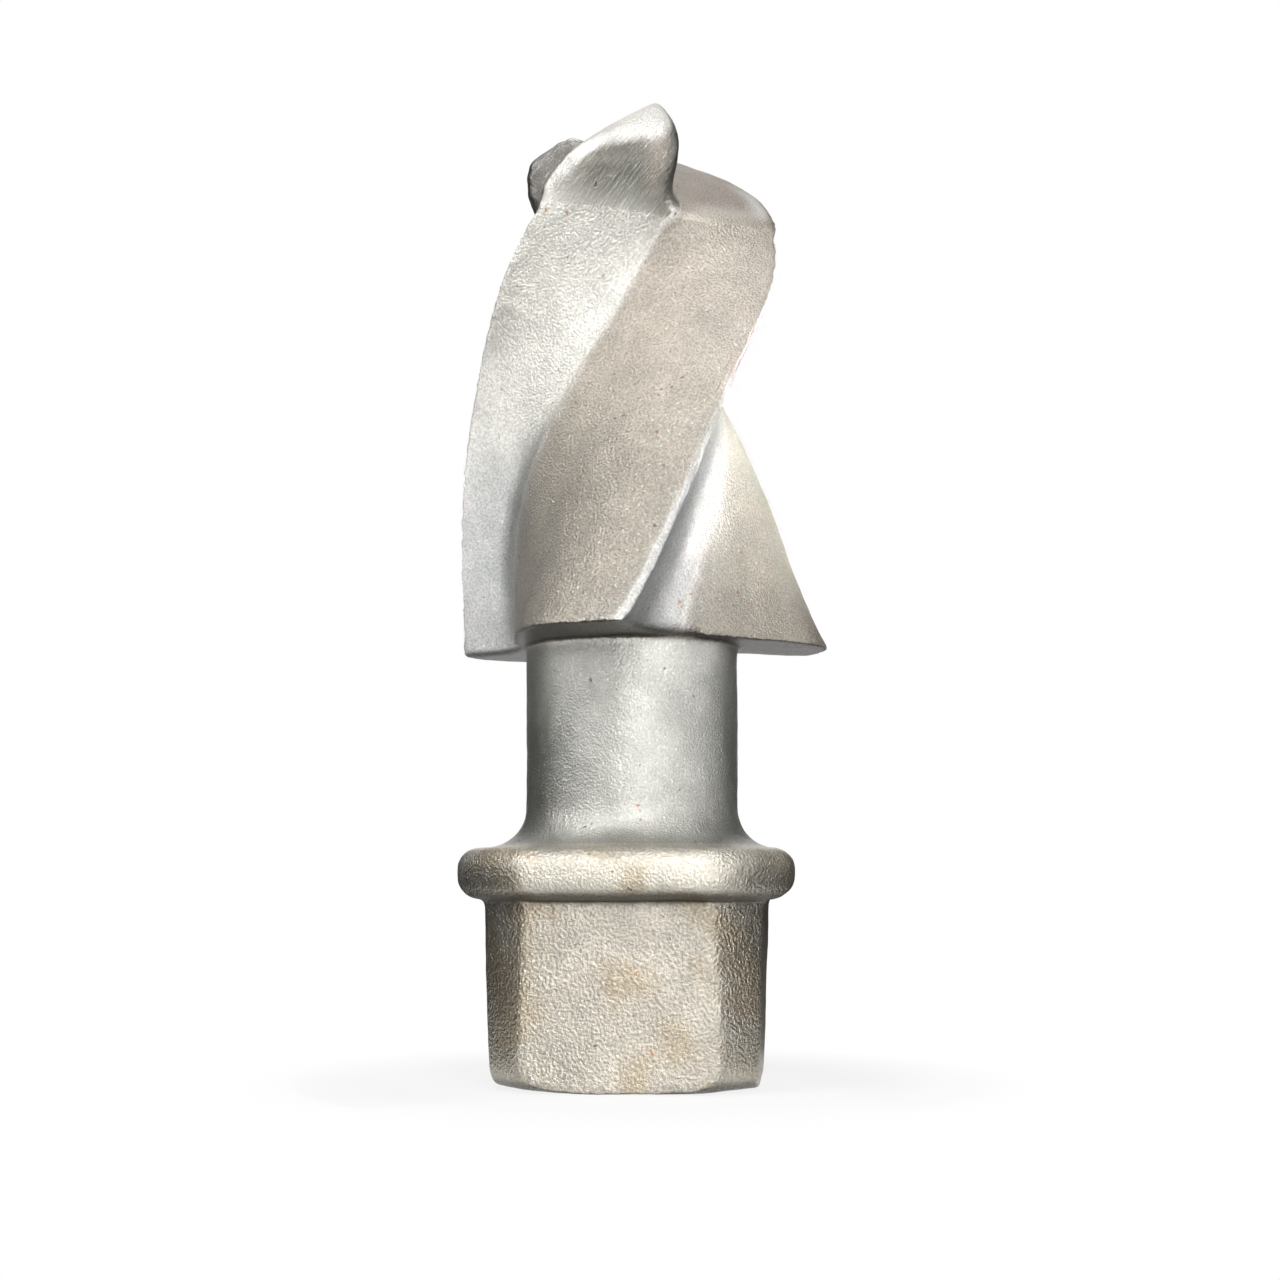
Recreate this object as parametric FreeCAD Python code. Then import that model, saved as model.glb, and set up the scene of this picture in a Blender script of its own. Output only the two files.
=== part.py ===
import FreeCAD, Part
import math
import os

# Pilot bit for an earth auger. The object is one steel casting, so nothing in it moves and
# nothing comes apart. The parts are its visible regions, each a separate solid.
# Millimetres. +Z runs from the flat end of the drive shank up to the three teeth.
# Origin: centre of the shank's end face. The flats of the square shank face +-X and +-Y.

os.makedirs("parts", exist_ok=True)

# Driving dimensions
LOBES = 3
LOBE_PITCH = 360.0 / LOBES

# square drive shank with turned corners
SHANK_AF_TOP = 44.45
SHANK_AF_END = 42.6
SHANK_LENGTH = 30.0
SHANK_CORNER_DIA = 53.2
SHANK_END_ROUND = 4.8

# shoulder collar above the shank
COLLAR_OVERHANG = 4.5
COLLAR_AF = SHANK_AF_TOP + 2 * COLLAR_OVERHANG
COLLAR_CORNER_DIA = SHANK_CORNER_DIA + 1.75 * COLLAR_OVERHANG
COLLAR_THICKNESS = 8.4
COLLAR_RIM_ROUND = 3.6
COLLAR_CORNER_ROUND = 5.0

# round neck
NECK_DIA = 34.9
NECK_FLARE_RADIUS = 6.6
NECK_LENGTH = 33.0

# spiral head
HEAD_LENGTH = 66.7
CORE_DIA = 13.0
HEAD_TURN = 5.5
UNDERSIDE_ROUND = 2.2

# teeth: angles are measured on from the outer edge of the same lobe at the step, reaches from
# the axis and heights from the step. The first tooth stands proud of the other two. The top face
# climbs from its outer corner to the tip, and the back rolls over in one round sweep from the
# step up to the tip.
TOOTH_HEIGHTS = (21.8, 17.4, 19.0)
LEAD_TURN = 63.4
LEAD_FOOT_HEIGHT = 6.6
TOP_TURN = 35.8
TOP_CORNER_REACH = 15.0
TOP_CORNER_HEIGHT = 14.5
TOP_TIP_REACH = 7.6
BACK_TURN = -57.5
BACK_FOOT_REACH = 14.8
BACK_TIP_REACH = -6.5
BACK_ROLL_RADIUS = 110.0
TOOTH_RIDGE_ROUND = 2.5
TOOTH_BLANK_RADIUS = 32.0
CORE_MARGIN = 10.0

# Levels
Z_COLLAR = SHANK_LENGTH
Z_NECK = Z_COLLAR + COLLAR_THICKNESS
Z_HEAD = Z_NECK + NECK_LENGTH
Z_CREASE = Z_HEAD + HEAD_LENGTH

AXIS = FreeCAD.Vector(0, 0, 1)
ZERO = FreeCAD.Vector(0, 0, 0)


def polar(radius, angle, z):
    a = math.radians(angle)
    return FreeCAD.Vector(radius * math.cos(a), radius * math.sin(a), z)


def square_prism(flats_low, flats_high, z_low, z_high):
    wires = []
    for flats, z in ((flats_low, z_low), (flats_high, z_high)):
        h = flats / 2.0
        corners = [(-h, -h), (h, -h), (h, h), (-h, h), (-h, -h)]
        wires.append(Part.makePolygon([FreeCAD.Vector(x, y, z) for x, y in corners]))
    return Part.makeLoft(wires, True, True)


def half_space(point, angle, rise):
    """Big block kept on the inner side of a plane through the point. The plane's outward
    normal points along the given azimuth and is raised by the given angle."""
    size = 600.0
    box = Part.makeBox(size, size, size, FreeCAD.Vector(-size, -size / 2, -size / 2))
    box.rotate(ZERO, FreeCAD.Vector(0, 1, 0), -rise)
    box.rotate(ZERO, AXIS, angle)
    box.translate(point)
    return box


def make_shank():
    """Square bar turned down at its corners and tapered to its end. It runs up through the
    collar to the foot of the neck."""
    r = SHANK_CORNER_DIA / 2
    e = SHANK_END_ROUND
    k = math.sqrt(0.5)
    pts = [FreeCAD.Vector(0, 0, 0), FreeCAD.Vector(r - e, 0, 0), FreeCAD.Vector(r, 0, e)]
    mid = FreeCAD.Vector(r - e + e * k, 0, e - e * k)
    outline = Part.Wire([
        Part.makeLine(pts[0], pts[1]),
        Part.Arc(pts[1], mid, pts[2]).toShape(),
        Part.makeLine(pts[2], FreeCAD.Vector(r, 0, SHANK_LENGTH)),
        Part.makeLine(FreeCAD.Vector(r, 0, SHANK_LENGTH), FreeCAD.Vector(0, 0, SHANK_LENGTH)),
        Part.makeLine(FreeCAD.Vector(0, 0, SHANK_LENGTH), pts[0]),
    ])
    turned = Part.Face(outline).revolve(ZERO, AXIS, 360)
    lower = turned.common(square_prism(SHANK_AF_END, SHANK_AF_TOP, 0, SHANK_LENGTH))
    return lower.fuse(shank_inside_collar()).removeSplitter()


def shank_inside_collar():
    bar = Part.makeCylinder(SHANK_CORNER_DIA / 2, COLLAR_THICKNESS, FreeCAD.Vector(0, 0, Z_COLLAR))
    return bar.common(square_prism(SHANK_AF_TOP, SHANK_AF_TOP, Z_COLLAR, Z_NECK))


def make_collar():
    """Rounded square ring round the shank. The ring's lower face is what seats on the socket."""
    disc = Part.makeCylinder(COLLAR_CORNER_DIA / 2, COLLAR_THICKNESS, FreeCAD.Vector(0, 0, Z_COLLAR))
    body = disc.common(square_prism(COLLAR_AF, COLLAR_AF, Z_COLLAR, Z_NECK))
    upright = [e for e in body.Edges if abs(e.tangentAt(e.FirstParameter).z) > 0.99]
    body = body.makeFillet(COLLAR_CORNER_ROUND, upright)
    rims = [e for e in body.Edges if e.BoundBox.ZLength < 0.01]
    return body.makeFillet(COLLAR_RIM_ROUND, rims).cut(shank_inside_collar())


def make_neck():
    r = NECK_DIA / 2
    f = NECK_FLARE_RADIUS
    k = math.sqrt(0.5)
    foot = FreeCAD.Vector(r + f, 0, Z_NECK)
    waist = FreeCAD.Vector(r, 0, Z_NECK + f)
    mid = FreeCAD.Vector(r + f - f * k, 0, Z_NECK + f - f * k)
    outline = Part.Wire([
        Part.makeLine(FreeCAD.Vector(0, 0, Z_NECK), foot),
        Part.Arc(foot, mid, waist).toShape(),
        Part.makeLine(waist, FreeCAD.Vector(r, 0, Z_HEAD)),
        Part.makeLine(FreeCAD.Vector(r, 0, Z_HEAD), FreeCAD.Vector(0, 0, Z_HEAD)),
        Part.makeLine(FreeCAD.Vector(0, 0, Z_HEAD), FreeCAD.Vector(0, 0, Z_NECK)),
    ])
    return Part.Face(outline).revolve(ZERO, AXIS, 360)


# Spiral head
# Each row is one level of the head: height above the underside as a share of the head length,
# then for the outer edge its turn and radius, then for the valley ahead of it the turn measured
# on from the edge and its radius. Turns are in degrees, and grow with height: right-hand spiral.
EDGE_ROWS = [
    (0.0, -211.3, 34.6, 36.0, 19.6),
    (0.2, -199.2, 31.0, 31.0, 19.5),
    (0.4, -186.8, 28.6, 31.0, 18.2),
    (0.6, -171.3, 26.3, 39.0, 14.8),
    (0.8, -150.5, 25.2, 62.0, 11.4),
    (1.0, -126.0, 24.1, 74.0, 12.9),
    (1.08, -123.0, 24.6, 58.0, 16.6),
    (1.16, -121.0, 24.8, 57.5, 17.6),
    (1.42, -118.0, 25.2, 57.5, 18.7),
]
# shape of the hollow face between edge and valley, and of the rounded back between the valley
# and the next edge: share of the way round, then share of the radius difference at each level
HOLLOW_STOPS = (0.1, 0.25, 0.5, 0.75)
HOLLOW_ROWS = [
    (0.36, 0.13, 0.02, 0.00),
    (0.50, 0.24, 0.05, 0.00),
    (0.66, 0.42, 0.15, 0.03),
    (0.68, 0.42, 0.16, 0.03),
    (0.64, 0.36, 0.09, -0.02),
    (0.62, 0.34, 0.06, -0.03),
    (0.84, 0.56, 0.10, -0.04),
    (0.88, 0.62, 0.15, -0.03),
    (0.88, 0.64, 0.18, -0.02),
]
BACK_STOPS = (0.12, 0.3, 0.5, 0.7, 0.88)
BACK_ROWS = [
    (0.03, 0.16, 0.47, 0.86, 0.98),
    (0.01, 0.11, 0.39, 0.75, 0.93),
    (0.01, 0.08, 0.32, 0.67, 0.90),
    (0.01, 0.09, 0.31, 0.62, 0.86),
    (0.04, 0.15, 0.33, 0.60, 0.84),
    (0.06, 0.18, 0.34, 0.55, 0.79),
]
BACK_TOP_ROW = 5


def curve(points):
    spline = Part.BSplineCurve()
    spline.interpolate(points)
    return spline.toShape()


def hollow_curve(i):
    """Hollow face at one level, from the outer edge to the valley ahead of it."""
    share, turn, r_edge, sweep, r_valley = EDGE_ROWS[i]
    z = Z_HEAD + share * HEAD_LENGTH
    turn = turn + HEAD_TURN
    points = [polar(r_edge, turn, z)]
    for stop, share_r in zip(HOLLOW_STOPS, HOLLOW_ROWS[i]):
        points.append(polar(r_valley + share_r * (r_edge - r_valley), turn + stop * sweep, z))
    points.append(polar(r_valley, turn + sweep, z))
    return points


def back_curve(i):
    """Rounded back at one level, from the valley behind it to the outer edge."""
    share, turn, r_edge, sweep, r_valley = EDGE_ROWS[i]
    z = Z_HEAD + share * HEAD_LENGTH
    start = turn + HEAD_TURN + sweep - LOBE_PITCH
    span = LOBE_PITCH - sweep
    points = [polar(r_valley, start, z)]
    for stop, share_r in zip(BACK_STOPS, BACK_ROWS[i]):
        points.append(polar(r_valley + share_r * (r_edge - r_valley), start + stop * span, z))
    points.append(polar(r_edge, start + span, z))
    return points


def ring(curve_a, corners, curve_b):
    """Closed outline: one curve, straight lines through the corners, then a second curve."""
    line = [curve_a[-1]] + corners + [curve_b[0]]
    edges = [curve(curve_a)]
    for p, q in zip(line[:-1], line[1:]):
        edges.append(Part.makeLine(p, q))
    edges.append(curve(curve_b))
    return Part.Wire(edges)


def make_wing():
    wires = []
    for i in range(BACK_TOP_ROW + 1):
        hollow = hollow_curve(i)
        back = back_curve(i)
        wires.append(ring(hollow, [inner_point(hollow[-1]), inner_point(back[0])], back))
    lobe = Part.makeLoft(wires, True, False)
    foot = FreeCAD.Vector(0, 0, Z_HEAD - CORE_MARGIN)
    core = Part.makeCylinder(CORE_DIA / 2, HEAD_LENGTH + 2 * CORE_MARGIN, foot)
    lobe = lobe.cut(core)
    lower_edges = [e for e in lobe.Edges if is_hollow_rim(e)]
    return lobe.makeFillet(UNDERSIDE_ROUND, lower_edges)


def is_hollow_rim(edge):
    """True for the lower edge of the hollow face, which runs from the outer edge to the
    valley and stays nearer the axis than the lower edge of the back."""
    if edge.BoundBox.ZMax > Z_HEAD + 0.01:
        return False
    half = edge.valueAt((edge.FirstParameter + edge.LastParameter) / 2)
    ends = sorted(math.hypot(v.X, v.Y) for v in edge.Vertexes)
    reaches = abs(ends[0] - EDGE_ROWS[0][4]) < 0.01 and abs(ends[-1] - EDGE_ROWS[0][2]) < 0.01
    return reaches and math.hypot(half.x, half.y) < EDGE_ROWS[0][4] + 4.0


def inner_point(p):
    share = 0.3 * CORE_DIA / math.hypot(p.x, p.y)
    return FreeCAD.Vector(p.x * share, p.y * share, p.z)


def tooth_wedge():
    """Third of a turn between two leading faces. Each face stands upright through the axis and
    sweeps forward at its foot to meet the valley."""
    foot = EDGE_ROWS[BACK_TOP_ROW][3] - LEAD_TURN
    levels = ((0.0, foot), (0.35, 0.45 * foot), (1.0, 0.0), (8.0, 0.0))
    wires = []
    for share, extra in levels:
        z = Z_CREASE + share * LEAD_FOOT_HEIGHT
        lead = edge_turn() + LEAD_TURN + extra
        rim = [polar(TOOTH_BLANK_RADIUS, lead - step * LOBE_PITCH / 4, z) for step in range(5)]
        hub = FreeCAD.Vector(0, 0, z)
        wires.append(Part.makePolygon([hub] + rim + [hub]))
    return Part.makeLoft(wires, True, True)


def edge_turn():
    return EDGE_ROWS[BACK_TOP_ROW][1] + HEAD_TURN


def tooth_blank():
    """Block that the claw is cut from: wide enough to reach both leading faces."""
    base = EDGE_ROWS[BACK_TOP_ROW]
    wires = []
    for i in range(BACK_TOP_ROW, len(EDGE_ROWS)):
        hollow = hollow_curve(i)
        z = hollow[0].z
        back = [FreeCAD.Vector(p.x, p.y, z) for p in back_curve(BACK_TOP_ROW)[:-1]]
        back.append(hollow[0])
        far_a = polar(5.0, edge_turn() + base[3] + 40.0, z)
        far_b = polar(base[4], edge_turn() + base[3] - LOBE_PITCH - 22.0, z)
        wires.append(ring(hollow, [far_a, far_b], back))
    return Part.makeLoft(wires, True, False)


def face_block(angle, slope, reach, height):
    """Cutting block for a flat face of the tooth."""
    angle = angle + edge_turn()
    return half_space(polar(reach, angle, Z_CREASE + height), angle, 90 - slope)


def top_slope(height):
    return math.degrees(math.atan2(height - TOP_CORNER_HEIGHT, TOP_CORNER_REACH - TOP_TIP_REACH))


def back_roll(rise):
    """Level cylinder that the tooth's back follows. It passes through the foot of the back, at
    the step, and through the tip."""
    run = BACK_FOOT_REACH - BACK_TIP_REACH
    chord = math.hypot(run, rise)
    depth = math.sqrt(BACK_ROLL_RADIUS ** 2 - (chord / 2) ** 2)
    reach = (BACK_FOOT_REACH + BACK_TIP_REACH) / 2 - depth * rise / chord
    z = Z_CREASE + rise / 2 - depth * run / chord
    along = polar(1, edge_turn() + BACK_TURN + 90, 0)
    start = polar(reach, edge_turn() + BACK_TURN, z) - along * 2 * TOOTH_BLANK_RADIUS
    return Part.makeCylinder(BACK_ROLL_RADIUS, 4 * TOOTH_BLANK_RADIUS, start, along)


def lies_on(edge, block):
    """True where the middle of the edge is on the block's surface."""
    middle = edge.valueAt((edge.FirstParameter + edge.LastParameter) / 2)
    return block.Shells[0].distToShape(Part.Vertex(middle))[0] < 0.001


def make_tooth(height):
    """Claw with a hollow leading face, a sloping top and a rolled back. Its ridges are rounded
    before the leading face trims them."""
    top = face_block(TOP_TURN, top_slope(height), TOP_CORNER_REACH, TOP_CORNER_HEIGHT)
    back = back_roll(height)
    claw = tooth_blank().common(top).common(back)
    ridges = [e for e in claw.Edges if lies_on(e, top)]
    return claw.makeFillet(TOOTH_RIDGE_ROUND, ridges).common(tooth_wedge())


def patterned(name, shapes):
    """Turns each lobe's own shape into its place round the axis."""
    for k, shape in enumerate(shapes):
        turned = shape.copy()
        turned.rotate(ZERO, AXIS, k * LOBE_PITCH)
        nodes["%s_%d" % (name, k + 1)] = turned


nodes = {
    "drive_shank": make_shank(),
    "shoulder_collar": make_collar(),
    "neck": make_neck(),
    "head_core": Part.makeCylinder(CORE_DIA / 2, HEAD_LENGTH, FreeCAD.Vector(0, 0, Z_HEAD)),
}
patterned("wing", LOBES * [make_wing()])
patterned("tooth", [make_tooth(height) for height in TOOTH_HEIGHTS])

for name, shape in nodes.items():
    shape.exportStep("parts/%s.step" % name)
    print(name, shape.isValid(), len(shape.Solids), round(shape.Volume, 1))
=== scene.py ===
import math

import bpy
import numpy as np
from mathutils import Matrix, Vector, noise
from mathutils.bvhtree import BVHTree


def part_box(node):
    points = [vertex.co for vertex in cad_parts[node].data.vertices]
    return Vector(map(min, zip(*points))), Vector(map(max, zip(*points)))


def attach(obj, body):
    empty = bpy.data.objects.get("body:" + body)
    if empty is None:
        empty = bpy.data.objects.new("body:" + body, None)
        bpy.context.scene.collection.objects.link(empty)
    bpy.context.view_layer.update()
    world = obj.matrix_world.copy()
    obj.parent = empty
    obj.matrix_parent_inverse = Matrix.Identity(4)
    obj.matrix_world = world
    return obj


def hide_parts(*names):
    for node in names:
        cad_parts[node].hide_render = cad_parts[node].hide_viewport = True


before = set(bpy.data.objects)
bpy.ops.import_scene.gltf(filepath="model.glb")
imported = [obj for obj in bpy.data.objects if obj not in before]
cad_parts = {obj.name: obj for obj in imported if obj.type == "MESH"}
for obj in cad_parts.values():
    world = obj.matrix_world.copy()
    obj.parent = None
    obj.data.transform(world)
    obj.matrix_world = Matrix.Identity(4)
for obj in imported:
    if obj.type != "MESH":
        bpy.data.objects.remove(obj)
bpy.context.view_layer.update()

MM = 0.001

# Lobes of the head. Each has a wing and a tooth, and the first tooth is the one at the front, at
# this turn round the axis.
WINGS = ["wing_1", "wing_2", "wing_3"]
TEETH = ["tooth_1", "tooth_2", "tooth_3"]
LOBE_PITCH = 120
FRONT_TOOTH_TURN = math.radians(-62)

# Levels of the casting, from the frame. The step is the one below the teeth.
Z_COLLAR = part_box("shoulder_collar")[0].z
Z_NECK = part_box("neck")[0].z
Z_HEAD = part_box("wing_1")[0].z
Z_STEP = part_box("tooth_1")[0].z

# Heights between which a region of the head sets in. The roots of the teeth set in between two
# distances from the step, and what belongs to the front tooth between two cosines of the turn
# away from it.
HEAD_START = (Z_HEAD - 1 * MM, Z_HEAD + 1 * MM)
UPPER_START = (Z_HEAD + 20 * MM, Z_HEAD + 42 * MM)
TEETH_START = (Z_STEP, Z_STEP + 3 * MM)
CROWN_START = (Z_STEP - 1 * MM, Z_STEP + 6 * MM)
ROOT_START = (8 * MM, 2 * MM)
FRONT_HALF_START = (-0.3, 0.3)
FRONT_TOOTH_START = (0.0, 0.4)

# Working of the skin: rounds of smoothing, least weight that is worked on, and how far the skin is
# pushed out of or into the steel. Waves have a pitch and a height.
VOXEL = 0.4 * MM
ALL_ROUNDS = 5
TOOTH_ROUNDS = 60
ROOT_ROUNDS = 260
VALLEY_ROUNDS = 160
VALLEY_STRENGTH = 2.0
LEAST_WEIGHT = 0.002
SIDE_TOOTH_SHARE = 0.4
TOOTH_SWELL = 0.35 * MM
SKIN_WAVES = ((9 * MM, 0.16 * MM), (2.2 * MM, 0.05 * MM))
SKIN_SINK = 0.1 * MM
RIDGE_NICKS = (1.3 * MM, 0.22 * MM)
RIDGE_WEAR = 0.08 * MM

# Rounds of blur for the fields that steer the work and the steels. A bend's field is blurred
# once more where a feature is to be wider than its ridge or valley.
ROOT_BLUR = 12
VALLEY_BLUR = 12
VALLEY_SPREAD = 30
RIDGE_BLUR = 5
EDGE_HIGHLIGHT_SPREAD = 180
NORMAL_BLUR = 4
HOLLOW_FACE_BLUR = 25

# Bends of the skin between which a feature sets in, in 1/mm: hollows for a valley and a corner,
# and ridges for the others
VALLEY_BEND = (0.02, 0.12)
CORNER_BEND = (0.04, 0.25)
NICKED_BEND = (0.05, 0.20)
RUBBED_AND_LIT_BEND = (0.05, 0.30)
EDGE_HIGHLIGHT_BEND = (0.005, 0.03)

# Parts of the normal between which the skin comes to face a way. The way out, past the front
# tooth's outer edge, is lifted by a share of the way up.
FACING_AHEAD = (-0.15, 0.25)
FACING_UP = (-0.05, 0.30)
# The way out picks the side of the front tooth's edge that gets a painted highlight.
FACING_OUT = (0.0, 0.35)
OUT_LIFT = 0.6

# Parting of the skin: how far off a level it is cut, the step between the points on the axis that
# close the cuts, the reach within which lobes aren't told apart, the levels at which they are
# traced, and how far the teeth part ahead of the first one's end
PARTING = 0.5 * MM
AXIS_STEP = 1.5 * MM
AXIS_CLEARANCE = 2 * MM
WING_LEVELS = np.linspace(Z_HEAD + PARTING, Z_STEP - PARTING, 24)
TOOTH_LEVELS = np.linspace(Z_STEP + PARTING, Z_STEP + 9 * MM, 8)
TOOTH_MARGIN = 0.8 * MM

# Camera, worked out from the photograph: how far it stands from the bit's axis, its height above
# the shank's end, the side it stands on, and the place of the axis and horizon in the picture
PICTURE = 1280
CAMERA_DISTANCE = 0.3292
CAMERA_HEIGHT = 0.03506
CAMERA_AZIMUTH = -84.5
PIXEL_AT_AXIS = 0.0001646
AXIS_X = 632
HORIZON_Y = 868
SENSOR_WIDTH = 36.0
CLIP = (0.01, 20.0)

# Lamps, aimed at a point of the axis: turn from the camera's side and elevation in degrees, power
# in watts, distance and size in metres, and spread in degrees
LAMP_AIM = 0.105
LAMPS = {
    "front": (12, -6, 2.2, 0.8, 0.12, 180),
    "front_high": (12, 35, 1.8, 0.8, 0.25, 180),
    "right": (60, -6, 1.7, 0.8, 0.12, 180),
    "right_far": (85, 12, 0.6, 0.8, 0.25, 180),
    "left": (-60, 12, 1.3, 0.8, 0.25, 180),
    "left_high": (-60, 35, 0.9, 0.8, 0.25, 180),
    "top_left": (-35, 60, 1.5, 0.8, 0.25, 180),
    "top": (0, 80, 0.8, 0.8, 0.25, 180),
    "low_left": (-85, -30, 0.008, 0.17, 0.08, 34),
    "low_right": (98, 6, 0.013, 0.30, 0.05, 8),
}
WORLD_LIGHT = (0.9, 0.95, 1, 1)
WORLD_STRENGTH = 0.15

# Dark cards: turns from the camera's side in degrees, height and radius in metres, and whether
# they keep the lamps off the bit
FLAGS = {
    "shank_left": (-160, -45, 0.042, 0.055, True),
    "shank_right": (45, 160, 0.042, 0.055, True),
    "near_left": (-160, -38, 0.12, 0.20, False),
    "near_right": (38, 160, 0.12, 0.20, False),
    "far_left": (-80, -45, 0.35, 0.60, False),
    "far_right": (45, 80, 0.35, 0.60, False),
    "back_left": (-160, -80, 0.70, 0.60, False),
    "back_right": (80, 160, 0.70, 0.60, False),
}
FLAG_STEPS = 12
FLAG_GREY = (0.03, 0.03, 0.03, 1)

# Floor: half its width, the radii between which its shadow fades out, how much of it glows in
# the shadow and outside it, and its colours for the background's rays and for the other ones
FLOOR_REACH = 6.0
SHADOW_FADE = (0.03, 0.07)
FLOOR_GLOW = (0.85, 1.0)
FLOOR_PALE = (0.95, 0.95, 0.95, 1)
FLOOR_DARK = (0.3, 0.3, 0.3, 1)

# Colours of the steel
# A bright colour laid on as wear and scratches, and also as painted highlights and glints
BRIGHT_WEAR_AND_HIGHLIGHT = (0.68, 0.665, 0.63, 1)
RUST = (0.36, 0.13, 0.04, 1)
BEIGE = (0.53, 0.492, 0.422, 1)
PALE = (0.60, 0.565, 0.49, 1)
SILVER = (0.48, 0.475, 0.44, 1)
TAN = (0.41, 0.375, 0.32, 1)
# The light tan and the warm grey are the colours high on the head, lighter than the tan and the cool
# grey as painted light from above.
PAINTED_LIT_TAN = (0.49, 0.445, 0.385, 1)
COOL = (0.49, 0.49, 0.482, 1)
PAINTED_LIT_WARM = (0.62, 0.605, 0.56, 1)
OCHRE = (0.40, 0.31, 0.19, 1)
BROWN = (0.31, 0.265, 0.225, 1)
OLIVE = (0.20, 0.195, 0.17, 1)
SMOKY = (0.16, 0.152, 0.14, 1)
TOOTH_COLOURS = {"tooth_1": (BROWN, OLIVE), "tooth_2": (BROWN, OLIVE), "tooth_3": (BROWN, SMOKY)}

# Patches on the steel: pitch and detail of their noise, its levels between which they set in, and
# how strong they get
PITS = (1.4 * MM, 1.0, 0.76, 0.80, 1.0)
STAINS = (11 * MM, 2.0, 0.48, 0.66, 0.5)
# The next patches are painted glints: small specks painted bright as highlights.
PAINTED_GLINTS = (0.45 * MM, 0.0, 0.70, 0.80, 0.8)
RUST_SPECKS = (1.1 * MM, 2.0, 0.68, 0.72, 1.0)
RUSTY_AREAS = (14 * MM, 2.0, 0.56, 0.62, 1.0)

# Grain of the steels: pitch, depth, and how far its speckle goes above and below the colour
SHANK_GRAIN = (0.5 * MM, 0.45 * MM, 0.18)
COLLAR_GRAIN = (0.45 * MM, 0.32 * MM, 0.14)
NECK_GRAIN = (0.35 * MM, 0.18 * MM, 0.10)
WING_GRAIN = (0.38 * MM, 0.50 * MM, 0.20)
TOOTH_GRAIN = (0.35 * MM, 0.16 * MM, 0.08)
GRAIN_DETAIL = 3.0
HOLLOW_FACE_GRAIN = 0.5

# Values of a noise or a field between which its effect runs from its one end to its other
NOISE_SPAN = (0.3, 0.7)
FACE_SPAN = (0.3, 0.7)
# The next two spans shape a painted highlight band where a hollow face meets the rolled back.
HIGHLIGHT_BAND_RISE = (0.15, 0.50)
HIGHLIGHT_BAND_FALL = (0.50, 0.85)
RIDGE_SPAN = (0.3, 1.0)
CORNER_SPAN = (0.1, 1.0)
UNDERSIDE_SPAN = (-0.85, -0.45)

# How much of a bright or rusty colour is laid over the steel: painted highlights where the hollow
# faces meet the rolled backs and on the front tooth's edge, rust, and worn ridges
HIGHLIGHT_BAND_SHARE = 0.6
RUST_SHARE = 0.8
EDGE_HIGHLIGHT_SHARE = 0.85
RUBBED_AND_LIT_SHARE = 0.7

# How much of its colour the steel keeps: in broad patches and in pits, and as painted shade in corners
# and underneath
BROAD_PITCH = 6 * MM
BROAD_SHADES = (0.9, 1.08)
CORNER_SHADE = 0.35
NECK_CORNER_SHADE = 0.9
UNDERSIDE_SHADE = 0.25
PIT_SHADE = 0.5
PIT_DEPTH = 0.08 * MM

# Scratches on the teeth, and the gloss of the steel
SCRATCH_PITCH = 0.30 * MM
SCRATCH_DETAIL = 2.0
SCRATCH_TURN = (0, -52, 0)
SCRATCH_STRETCH = (9, 3, 1)
SCRATCH_LEVELS = (0.60, 0.75)
SCRATCH_SHARE = 0.35
SCRATCH_DEPTH = 0.12 * MM
ROUGHNESS = (0.42, 0.30)
METALLIC = 0.85


def smooth_step(start, end, x):
    """0 at the start and 1 at the end, which may lie on either side of it."""
    t = np.clip((x - start) / (end - start), 0, 1)
    return t * t * (3 - 2 * t)


def read(items, field, width, kind=np.float64):
    """One field of a mesh's items, as the rows of an array."""
    values = np.empty(len(items) * width, kind)
    items.foreach_get(field, values)
    return values.reshape(-1, width)


def around(a, b, values, count):
    """Sum of the values at the other ends of each point's edges, which run from a to b."""
    flat = values.reshape(count, -1)
    total = np.empty_like(flat)
    for k in range(flat.shape[1]):
        total[:, k] = np.bincount(a, flat[b, k], count) + np.bincount(b, flat[a, k], count)
    return total


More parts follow.
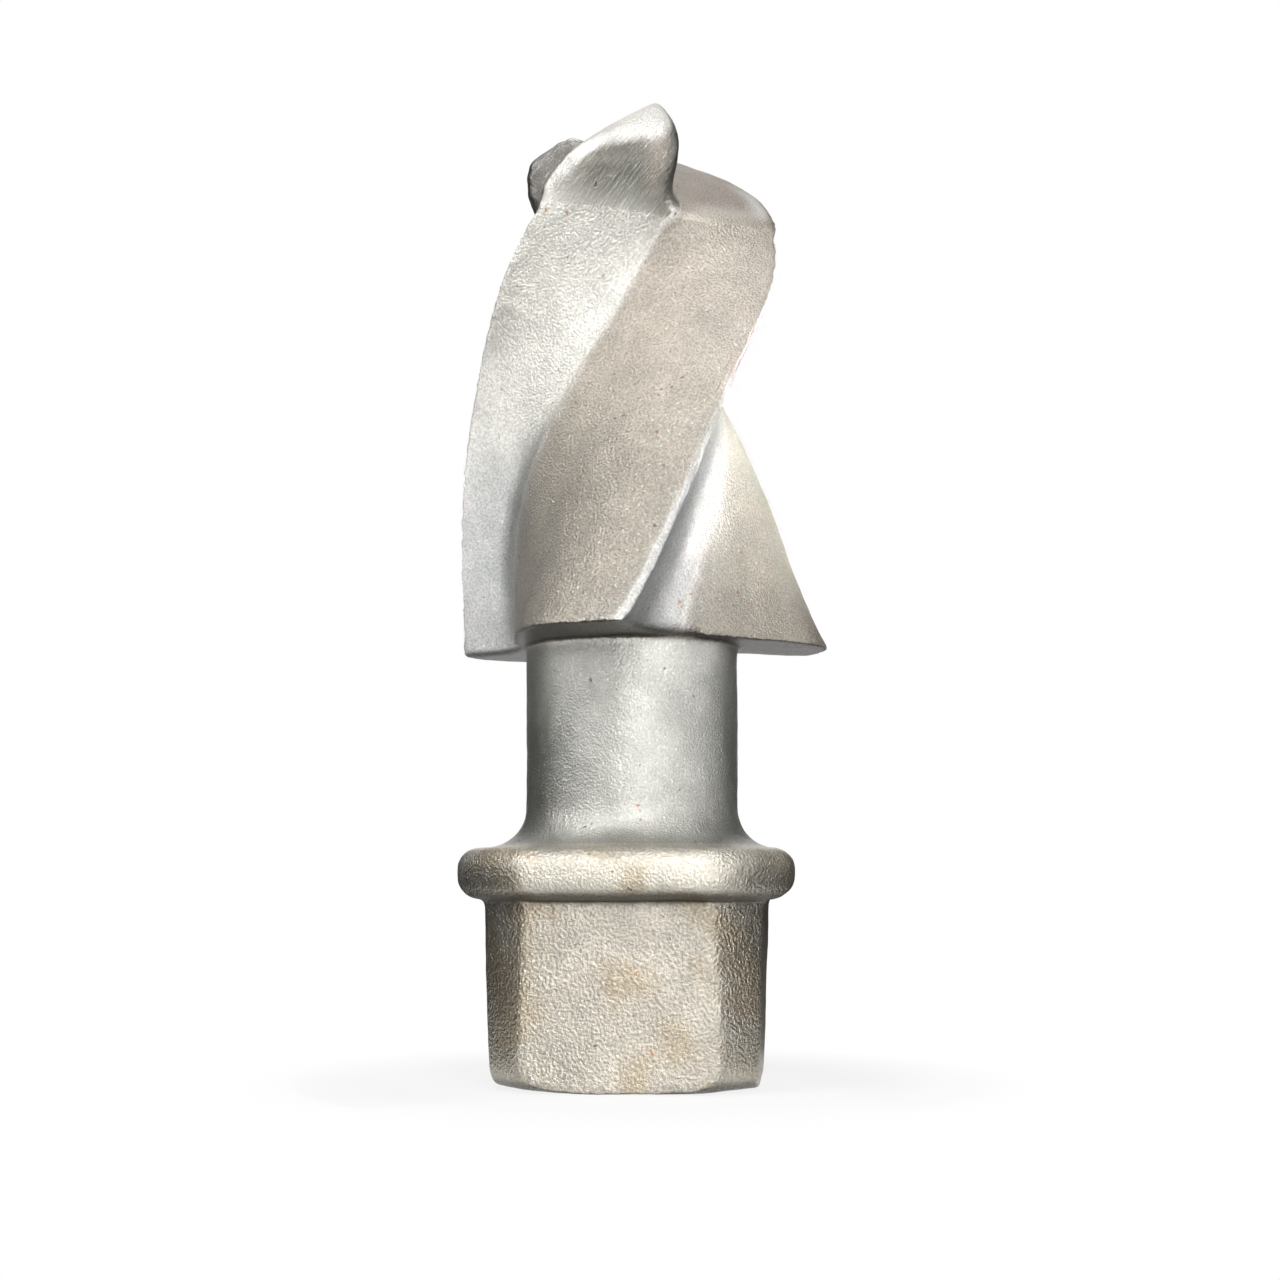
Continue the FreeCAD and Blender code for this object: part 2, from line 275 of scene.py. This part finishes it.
class Skin:
    """The casting's surface as arrays, so that whole stretches of it can be moved at once."""

    def __init__(self, mesh):
        self.mesh = mesh
        self.count = len(mesh.vertices)
        self.place = read(mesh.vertices, "co", 3)
        self.edges = read(mesh.edges, "vertices", 2, np.int32)
        self.degree = np.bincount(self.edges.ravel(), minlength=self.count).astype(float)
        self.fields = {}

    def mean_around(self, values):
        """Mean of the neighbours' values at each point."""
        total = around(self.edges[:, 0], self.edges[:, 1], values, self.count)
        return (total / self.degree[:, None]).reshape(values.shape)

    def blur(self, values, rounds):
        for _ in range(rounds):
            values = 0.5 * values + 0.5 * self.mean_around(values)
        return values

    def relax(self, weight, rounds):
        """Moves each point towards the middle of its neighbours, by its weight. Only the stretch
        with a weight is worked on."""
        weight = np.broadcast_to(weight, self.count)
        moved = weight > LEAST_WEIGHT
        near = moved[self.edges[:, 0]] | moved[self.edges[:, 1]]
        own, ends = np.unique(self.edges[near], return_inverse=True)
        a, b = ends.reshape(-1, 2).T
        place, pull = self.place[own], (0.5 * weight * moved)[own, None]
        degree = np.maximum(np.bincount(ends.ravel(), minlength=len(own)), 1)
        for _ in range(rounds):
            place = place + pull * (around(a, b, place, len(own)) / degree[:, None] - place)
        self.place = self.place.copy()
        self.place[own] = place

    def push(self, distance):
        """Moves each point out along its normal."""
        self.place = self.place + self.normals() * np.broadcast_to(distance, self.count)[:, None]

    def normals(self):
        self.mesh.vertices.foreach_set("co", self.place.ravel().astype(np.float32))
        self.mesh.update()
        return read(self.mesh.vertices, "normal", 3)

    def bend(self, rounds):
        """Above 0 in a hollow and below 0 on a ridge, in 1/mm."""
        step = self.mean_around(self.place) - self.place
        return self.blur((step * self.normals()).sum(1) / (VOXEL * VOXEL) * MM, rounds)

    def turn(self):
        """Angle of each point round the axis."""
        return np.arctan2(self.place[:, 1], self.place[:, 0])

    def facing_ahead(self, rounds):
        """1 on the hollow leading faces and 0 on the rolled backs."""
        turn, normal = self.turn(), self.normals()
        ahead = normal[:, 1] * np.cos(turn) - normal[:, 0] * np.sin(turn)
        return smooth_step(*FACING_AHEAD, self.blur(ahead, rounds))

    def waves(self, pitch, height):
        """Unevenness of a sand-cast surface at each point."""
        return height * np.array([noise.noise(Vector(p)) for p in (self.place / pitch).tolist()])


def joined_nodes(names):
    places, faces, base = [], [], 0
    for name in names:
        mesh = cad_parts[name].data
        mesh.calc_loop_triangles()
        places.append(read(mesh.vertices, "co", 3))
        faces.append(read(mesh.loop_triangles, "vertices", 3, np.int32) + base)
        base += len(mesh.vertices)
    mesh = bpy.data.meshes.new("joined")
    mesh.from_pydata(np.vstack(places).tolist(), [], np.vstack(faces).tolist())
    return mesh


def added(name, data):
    """New object with this data, in the scene."""
    piece = bpy.data.objects.new(name, data)
    bpy.context.scene.collection.objects.link(piece)
    return piece


def remeshed(mesh):
    piece = added("remesh", mesh)
    remesh = piece.modifiers.new("remesh", "REMESH")
    remesh.mode = "VOXEL"
    remesh.voxel_size = VOXEL
    piece.modifiers.new("triangles", "TRIANGULATE")
    graph = bpy.context.evaluated_depsgraph_get()
    mesh = bpy.data.meshes.new_from_object(piece.evaluated_get(graph))
    bpy.data.objects.remove(piece)
    return mesh


def cast_skin():
    """Skin of the whole casting, with its ridges worn and its upper valleys filled in a little. It
    keeps the fields by which the steels tell its regions apart and place painted highlights and shade."""
    skin = Skin(remeshed(joined_nodes(sorted(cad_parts))))
    skin.relax(1.0, ALL_ROUNDS)
    z = skin.place[:, 2]
    upper = smooth_step(*UPPER_START, z)
    teeth = smooth_step(*TEETH_START, z)
    crown = smooth_step(*CROWN_START, z)
    root = smooth_step(*ROOT_START, np.abs(z - Z_STEP)) * skin.facing_ahead(ROOT_BLUR)
    frontness = np.cos(skin.turn() - FRONT_TOOTH_TURN)

    front_half = smooth_step(*FRONT_HALF_START, frontness)
    skin.relax(teeth * (SIDE_TOOTH_SHARE + (1 - SIDE_TOOTH_SHARE) * front_half), TOOTH_ROUNDS)
    skin.push(TOOTH_SWELL * teeth)
    skin.relax(root, ROOT_ROUNDS)
    valley = smooth_step(*VALLEY_BEND, skin.bend(VALLEY_BLUR)) * upper
    valley = np.clip(skin.blur(valley, VALLEY_SPREAD) * VALLEY_STRENGTH, 0, 1)
    skin.relax(valley, VALLEY_ROUNDS)
    skin.push(sum(skin.waves(*wave) for wave in SKIN_WAVES) - SKIN_SINK)
    bend = skin.bend(RIDGE_BLUR)
    skin.push(smooth_step(*NICKED_BEND, -bend) * (skin.waves(*RIDGE_NICKS) - RIDGE_WEAR))
    skin.place[:, 2] = np.maximum(skin.place[:, 2], 0)

    normal = skin.normals()
    upward = smooth_step(*FACING_UP, skin.blur(normal[:, 2], NORMAL_BLUR))
    out = np.array((math.sin(FRONT_TOOTH_TURN), -math.cos(FRONT_TOOTH_TURN), OUT_LIFT))
    outward = smooth_step(*FACING_OUT, skin.blur(normal @ out, NORMAL_BLUR))
    front_tooth = crown * smooth_step(*FRONT_TOOTH_START, frontness)
    # Painted highlight: the front tooth's rounded edge, where it faces up and out, is marked to be
    # painted bright.
    painted_edge_highlight = smooth_step(*EDGE_HIGHLIGHT_BEND, -skin.blur(bend, EDGE_HIGHLIGHT_SPREAD))
    skin.fields = {
        "crown": crown,
        "upper": upper,
        "painted_edge_highlight": painted_edge_highlight * front_tooth * outward,
        # Ridges are painted bright as wear, but on the teeth only those that face up keep it, which is
        # painted light.
        "ridge": smooth_step(*RUBBED_AND_LIT_BEND, -bend) * (1 - crown * (1 - upward)),
        # Corners are hollows below the upper head, darkened with painted shade.
        "corner": smooth_step(*CORNER_BEND, bend) * (1 - upper),
        "hollow_face": skin.facing_ahead(HOLLOW_FACE_BLUR) * smooth_step(*HEAD_START, z),
    }
    return skin


def lobe_ends(name, levels):
    """Turn at which a lobe's node ends, looking out from the axis at each level, in degrees."""
    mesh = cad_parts[name].data
    tree = BVHTree.FromPolygons([v.co for v in mesh.vertices], [p.vertices for p in mesh.polygons])
    rays = [Vector((math.cos(math.radians(a)), math.sin(math.radians(a)), 0)) for a in range(360)]
    ends = []
    for z in levels:
        starts = [AXIS_CLEARANCE * ray + Vector((0, 0, z)) for ray in rays]
        hits = [tree.ray_cast(start, ray)[0] is not None for start, ray in zip(starts, rays)]
        ends.append(next(a for a in range(360) if hits[a - 1] and not hits[a]))
    return np.unwrap(ends, period=360)


def lobe_of(middle, name, levels, margin):
    """Number of the lobe that each point belongs to. The lobes part where the node of the first
    one ends, or a margin ahead of that."""
    reach = np.maximum(np.hypot(middle[:, 0], middle[:, 1]), AXIS_CLEARANCE)
    turn = np.degrees(np.arctan2(middle[:, 1], middle[:, 0]) - margin / reach)
    end = np.interp(middle[:, 2], levels, lobe_ends(name, levels))
    return (-np.floor((end - turn) / LOBE_PITCH) % 3).astype(int)


def closed_piece(skin, normal, name, faces):
    """Piece of the skin. Its cut is closed by faces that run level from the rim to the axis."""
    # A side that no face of the piece runs back along lies on the rim.
    sides = np.vstack([faces[:, [0, 1]], faces[:, [1, 2]], faces[:, [2, 0]]]).astype(np.int64)
    there = sides[:, 0] * skin.count + sides[:, 1]
    back = sides[:, 1] * skin.count + sides[:, 0]
    a, b = sides[~np.isin(there, back)].T

    # Points on the axis are numbered on from the skin's own points.
    level = skin.count + np.round(skin.place[:, 2] / AXIS_STEP).astype(np.int64) + 1
    lifted = level[a] != level[b]
    caps = np.vstack([
        np.column_stack([b, a, level[a]]),
        np.column_stack([b, level[a], level[b]])[lifted],
    ])
    used, corners = np.unique(np.vstack([faces, caps]), return_inverse=True)
    own = used[used < skin.count]
    axis = np.zeros((len(used) - len(own), 3))
    axis[:, 2] = (used[len(own):] - skin.count - 1) * AXIS_STEP

    mesh = bpy.data.meshes.new(name)
    mesh.from_pydata(np.vstack([skin.place[own], axis]).tolist(), [], corners.reshape(-1, 3).tolist())
    for field, values in skin.fields.items():
        layer = mesh.attributes.new(field, "FLOAT", "POINT")
        layer.data.foreach_set("value", np.append(values[own], np.zeros(len(axis))).astype(np.float32))
    mesh.shade_smooth()
    upright = np.tile((0.0, 0.0, 1.0), (len(axis), 1))
    mesh.normals_split_custom_set_from_vertices(np.vstack([normal[own], upright]).tolist())
    return added(name + "_cast", mesh)


def pieces_of(skin):
    """Parts the skin into one closed piece for each node. Flat faces at a parting go with the
    collar, the head's underside and the step below the teeth."""
    normal = skin.normals()
    faces = read(skin.mesh.polygons, "vertices", 3, np.int32)
    middle = skin.place[faces].mean(1)
    z = middle[:, 2]
    wing = lobe_of(middle, WINGS[0], WING_LEVELS, 0)
    tooth = lobe_of(middle, TEETH[0], TOOTH_LEVELS, TOOTH_MARGIN)
    collar, neck = Z_COLLAR - PARTING, Z_NECK + PARTING
    head, crown = Z_HEAD - PARTING, Z_STEP + PARTING
    chosen = {
        "drive_shank": z < collar,
        "shoulder_collar": (z >= collar) & (z < neck),
        "neck": (z >= neck) & (z < head),
    }
    for k in range(3):
        chosen[WINGS[k]] = (z >= head) & (z < crown) & (wing == k)
        chosen[TEETH[k]] = (z >= crown) & (tooth == k)
    return {name: closed_piece(skin, normal, name, faces[own]) for name, own in chosen.items()}


class Look:
    """A material that is being made up. Nodes are added and joined by short calls, and every
    pattern is laid out in the part's own coordinates, in metres."""

    def __init__(self, name):
        self.material = bpy.data.materials.new(name)
        self.material.use_nodes = True
        self.nodes, self.links = self.material.node_tree.nodes, self.material.node_tree.links
        self.nodes.clear()
        coordinates = self.nodes.new("ShaderNodeTexCoord")
        self.place, self.facing = coordinates.outputs["Object"], coordinates.outputs["Normal"]

    def node(self, kind, inputs, **settings):
        """New node. Each input is a number, a colour or another node's output."""
        node = self.nodes.new(kind)
        for setting, value in settings.items():
            setattr(node, setting, value)
        for socket, value in inputs.items():
            if isinstance(value, bpy.types.NodeSocket):
                self.links.new(value, node.inputs[socket])
            else:
                node.inputs[socket].default_value = value
        return node

    def noise(self, pitch, detail, place=None):
        inputs = {"Scale": 1 / pitch, "Detail": detail, "Vector": place or self.place}
        return self.node("ShaderNodeTexNoise", inputs).outputs["Fac"]

    def stretched(self, turn, scale):
        turn = [math.radians(a) for a in turn]
        inputs = {"Rotation": turn, "Scale": scale, "Vector": self.place}
        return self.node("ShaderNodeMapping", inputs, vector_type="TEXTURE").outputs["Vector"]

    def field(self, name):
        return self.node("ShaderNodeAttribute", {}, attribute_name=name).outputs["Fac"]

    def ramp(self, value, start, end, low=0.0, high=1.0):
        inputs = {"Value": value, "From Min": start, "From Max": end, "To Min": low, "To Max": high}
        node = self.node("ShaderNodeMapRange", inputs, interpolation_type="SMOOTHSTEP")
        return node.outputs["Result"]

    def patches(self, pitch, detail, start, end, most):
        return self.ramp(self.noise(pitch, detail), start, end, 0.0, most)

    def maths(self, operation, a, b):
        return self.node("ShaderNodeMath", {0: a, 1: b}, operation=operation).outputs[0]

    def times(self, a, b):
        return self.maths("MULTIPLY", a, b)

    def rest(self, a):
        """What is left of 1."""
        return self.maths("SUBTRACT", 1.0, a)

    def blend(self, factor, a, b, kind="MIX"):
        """Blend of two colours, which are this node's sockets 6 and 7 and its output 2."""
        inputs = {0: factor, 6: a, 7: b}
        return self.node("ShaderNodeMix", inputs, data_type="RGBA", blend_type=kind).outputs[2]

    def bump(self, height, depth, under=None):
        inputs = {"Distance": depth, "Height": height}
        if under:
            inputs["Normal"] = under
        return self.node("ShaderNodeBump", inputs).outputs["Normal"]

    def shader(self, kind, inputs):
        return self.node("ShaderNode" + kind, inputs).outputs[0]

    def either(self, factor, a, b):
        """Shader a, or shader b where the factor is 1."""
        return self.shader("MixShader", {0: factor, 1: a, 2: b})

    def finish(self, shader):
        self.node("ShaderNodeOutputMaterial", {0: shader})
        return self.material


def weathered_with_glints(look, colour, stain):
    """Colour with a stain in patches, painted glints and specks of rust."""
    if stain:
        colour = look.blend(look.patches(*STAINS), colour, stain)
    # Painted glints: small specks painted bright.
    colour = look.blend(look.patches(*PAINTED_GLINTS), colour, BRIGHT_WEAR_AND_HIGHLIGHT)
    rust = look.times(look.patches(*RUST_SPECKS), look.patches(*RUSTY_AREAS))
    return look.blend(look.times(rust, RUST_SHARE), colour, RUST)


def ground_down(look, face, colour, ground):
    """Colour of a tooth, which is ground above its root and has scratches and, on the front tooth, a
    painted highlight along its edge, and the bump of the scratches."""
    colour = look.blend(look.field("crown"), colour, look.blend(face, *ground))
    # Painted highlight on the front tooth's edge that faces up and out.
    edge = look.times(look.field("painted_edge_highlight"), EDGE_HIGHLIGHT_SHARE)
    colour = look.blend(edge, colour, BRIGHT_WEAR_AND_HIGHLIGHT)
    along = look.stretched(SCRATCH_TURN, SCRATCH_STRETCH)
    scratches = look.noise(SCRATCH_PITCH, SCRATCH_DETAIL, along)
    scratched = look.ramp(scratches, *SCRATCH_LEVELS, 0.0, SCRATCH_SHARE)
    return look.blend(scratched, colour, BRIGHT_WEAR_AND_HIGHLIGHT), look.bump(scratches, SCRATCH_DEPTH)


def shading(look, fine, pits, speckle, corner_shade):
    """Grey of how much of its colour the steel keeps, with painted shade in corners and on the
    undersides.
    """
    broad = look.noise(BROAD_PITCH, GRAIN_DETAIL)
    upness = look.node("ShaderNodeSeparateXYZ", {0: look.facing}).outputs["Z"]
    shade = look.ramp(fine, *NOISE_SPAN, 1 - speckle, 1 + speckle)
    shade = look.times(shade, look.ramp(broad, *NOISE_SPAN, *BROAD_SHADES))
    # Painted shade in corners.
    shade = look.times(shade, look.ramp(look.field("corner"), *CORNER_SPAN, 1.0, corner_shade))
    # Painted shade on the faces that point down.
    shade = look.times(shade, look.ramp(upness, *UNDERSIDE_SPAN, UNDERSIDE_SHADE, 1.0))
    shade = look.times(shade, look.rest(look.times(pits, PIT_SHADE)))
    return look.node("ShaderNodeCombineColor", {0: shade, 1: shade, 2: shade}).outputs[0]


def cast_steel(name, colours, grain, stain=None, corner_shade=CORNER_SHADE, ground=None):
    """Blasted cast steel, bright on worn ridges, with painted highlights, painted glints and painted
    shade in corners and underneath. Its colours are a pair for the rolled backs, low and high on the
    head, and a pair for the hollow faces; the high ones are lighter as painted light from above. A
    tooth's ground colours are one for its back and one for its hollow face."""
    look = Look(name)
    pitch, depth, speckle = grain
    fine = look.noise(pitch, GRAIN_DETAIL)
    pits = look.patches(*PITS)
    upper, face = look.field("upper"), look.field("hollow_face")

    colour = look.blend(face, *[look.blend(upper, *pair) for pair in colours])
    # Painted highlight: a bright band where a hollow face turns into the rolled back.
    painted_highlight_band = look.times(look.ramp(face, *HIGHLIGHT_BAND_RISE), look.ramp(face, *HIGHLIGHT_BAND_FALL, 1.0, 0.0))
    colour = look.blend(look.times(painted_highlight_band, HIGHLIGHT_BAND_SHARE), colour, BRIGHT_WEAR_AND_HIGHLIGHT)
    colour = weathered_with_glints(look, colour, stain)
    normal = None
    if ground:
        colour, normal = ground_down(look, face, colour, ground)
    # Bright worn ridges; on the teeth only the upward ones, as painted light.
    rubbed_and_lit = look.ramp(look.field("ridge"), *RIDGE_SPAN, 0.0, RUBBED_AND_LIT_SHARE)
    colour = look.blend(rubbed_and_lit, colour, BRIGHT_WEAR_AND_HIGHLIGHT)
    colour = look.blend(1.0, colour, shading(look, fine, pits, speckle, corner_shade), "MULTIPLY")

    fineness = look.ramp(face, *FACE_SPAN, 1.0, HOLLOW_FACE_GRAIN)
    normal = look.bump(look.times(fine, fineness), depth, normal)
    normal = look.bump(look.rest(pits), PIT_DEPTH, normal)
    roughness = look.ramp(fine, *NOISE_SPAN, *ROUGHNESS)
    steel = {"Base Color": colour, "Roughness": roughness, "Metallic": METALLIC, "Normal": normal}
    return look.finish(look.shader("BsdfPrincipled", steel))


def plain(colour):
    """One colour all over, in the form in which cast_steel takes its colours."""
    return (colour, colour), (colour, colour)


def finishes():
    """Steel of each node that gets a piece of skin, and a slot name for it, which the script doesn't
    use.
    """
    # The high colour of each pair is lighter, as painted light from above on the top of the head.
    head_colours = ((TAN, PAINTED_LIT_TAN), (COOL, PAINTED_LIT_WARM))
    shank_steel = cast_steel("shank_steel", plain(BEIGE), SHANK_GRAIN, OCHRE)
    collar_steel = cast_steel("collar_steel", plain(PALE), COLLAR_GRAIN, OCHRE)
    neck_steel = cast_steel(
        "neck_steel", plain(SILVER), NECK_GRAIN, corner_shade=NECK_CORNER_SHADE
    )
    wing_steel = cast_steel("wing_steel", head_colours, WING_GRAIN)
    chosen = {
        "drive_shank": (shank_steel, "shank_cast"),
        "shoulder_collar": (collar_steel, "collar_cast"),
        "neck": (neck_steel, "neck_cast"),
    }
    for name in WINGS:
        chosen[name] = (wing_steel, "wing_cast")
    for name, ground in TOOTH_COLOURS.items():
        tooth_steel = cast_steel(name + "_steel", head_colours, TOOTH_GRAIN, ground=ground)
        chosen[name] = (tooth_steel, "tooth_ground")
    return chosen


def add_bit():
    """A piece of skin in place of each visible node. The core inside stays as it was packed."""
    chosen = finishes()
    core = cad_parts["head_core"]
    core.data.materials.clear()
    core.data.materials.append(chosen["neck"][0])
    for name, piece in pieces_of(cast_skin()).items():
        steel, slot = chosen[name]
        piece.data.materials.append(steel)
        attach(piece, "root")
        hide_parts(name)


def add_camera():
    data = bpy.data.cameras.new("camera")
    camera = added("camera", data)
    data.sensor_width = SENSOR_WIDTH
    data.lens = SENSOR_WIDTH * CAMERA_DISTANCE / (PICTURE * PIXEL_AT_AXIS)
    data.shift_x = (PICTURE / 2 - AXIS_X) / PICTURE
    data.shift_y = (HORIZON_Y - PICTURE / 2) / PICTURE
    data.clip_start, data.clip_end = CLIP
    a = math.radians(CAMERA_AZIMUTH)
    camera.location = (CAMERA_DISTANCE * math.cos(a), CAMERA_DISTANCE * math.sin(a), CAMERA_HEIGHT)
    camera.rotation_euler = (math.radians(90), 0, a + math.radians(90))
    bpy.context.scene.camera = camera


def add_lamp(name, turn, elevation, power, distance, size, spread):
    data = bpy.data.lights.new(name, "AREA")
    data.shape = "DISK"
    data.size = size
    data.spread = math.radians(spread)
    data.energy = power
    data.cycles.use_multiple_importance_sampling = False
    lamp = added(name, data)
    a, e = math.radians(CAMERA_AZIMUTH + turn), math.radians(elevation)
    away = Vector((math.cos(a) * math.cos(e), math.sin(a) * math.cos(e), math.sin(e)))
    lamp.location = Vector((0, 0, LAMP_AIM)) + away * distance
    lamp.rotation_euler = away.to_track_quat("Z", "Y").to_euler()


def pale_rays(nodes, links):
    """1 for the rays that show the background: those of the camera, of gloss and of glass."""
    path = nodes.new("ShaderNodeLightPath")
    shown = path.outputs["Is Camera Ray"]
    for ray in ("Is Glossy Ray", "Is Transmission Ray"):
        either = nodes.new("ShaderNodeMath")
        either.operation = "MAXIMUM"
        links.new(shown, either.inputs[0])
        links.new(path.outputs[ray], either.inputs[1])
        shown = either.outputs[0]
    return shown


def add_world():
    world = bpy.data.worlds.new("world")
    bpy.context.scene.world = world
    world.use_nodes = True
    nodes, links = world.node_tree.nodes, world.node_tree.links
    nodes.clear()
    out = nodes.new("ShaderNodeOutputWorld")
    mix = nodes.new("ShaderNodeMixShader")
    links.new(pale_rays(nodes, links), mix.inputs[0])
    backgrounds = ((WORLD_LIGHT, WORLD_STRENGTH), ((1, 1, 1, 1), 1.0))
    for socket, (colour, strength) in zip((mix.inputs[1], mix.inputs[2]), backgrounds):
        background = nodes.new("ShaderNodeBackground")
        background.inputs["Color"].default_value = colour
        background.inputs["Strength"].default_value = strength
        links.new(background.outputs[0], socket)
    links.new(mix.outputs[0], out.inputs[0])


def add_floor():
    """Pale floor that keeps the bit's shadow near it and glows white further out."""
    mesh = bpy.data.meshes.new("floor")
    s = FLOOR_REACH
    mesh.from_pydata([(-s, -s, 0), (s, -s, 0), (s, s, 0), (-s, s, 0)], [], [(0, 1, 2, 3)])
    floor = added("floor", mesh)
    look = Look("floor_pale")
    reach = look.node("ShaderNodeVectorMath", {0: look.place}, operation="LENGTH").outputs["Value"]
    matt = look.shader("BsdfDiffuse", {"Color": FLOOR_PALE})
    glow = look.shader("Emission", {"Strength": 1.0})
    seen = look.either(look.ramp(reach, *SHADOW_FADE, *FLOOR_GLOW), matt, glow)
    dark = look.shader("BsdfDiffuse", {"Color": FLOOR_DARK})
    mesh.materials.append(look.finish(look.either(pale_rays(look.nodes, look.links), dark, seen)))


def add_flag(name, turn_from, turn_to, top, radius, blocks_lamps):
    """Dark upright card round the bit, as a studio sets beside bare metal. The camera doesn't see
    it."""
    rows = []
    for i in range(FLAG_STEPS + 1):
        a = math.radians(CAMERA_AZIMUTH + turn_from + (turn_to - turn_from) * i / FLAG_STEPS)
        rows += [(radius * math.cos(a), radius * math.sin(a), z) for z in (0, top)]
    faces = [(2 * i, 2 * i + 2, 2 * i + 3, 2 * i + 1) for i in range(FLAG_STEPS)]
    mesh = bpy.data.meshes.new(name)
    mesh.from_pydata(rows, [], faces)
    flag = added(name, mesh)
    flag.visible_camera = False
    flag.visible_shadow = blocks_lamps
    look = Look(name)
    mesh.materials.append(look.finish(look.shader("Emission", {"Color": FLAG_GREY})))


add_bit()
add_camera()
add_world()
add_floor()
for name, settings in LAMPS.items():
    add_lamp(name, *settings)
for name, settings in FLAGS.items():
    add_flag(name, *settings)
bpy.context.scene.view_settings.view_transform = "Standard"
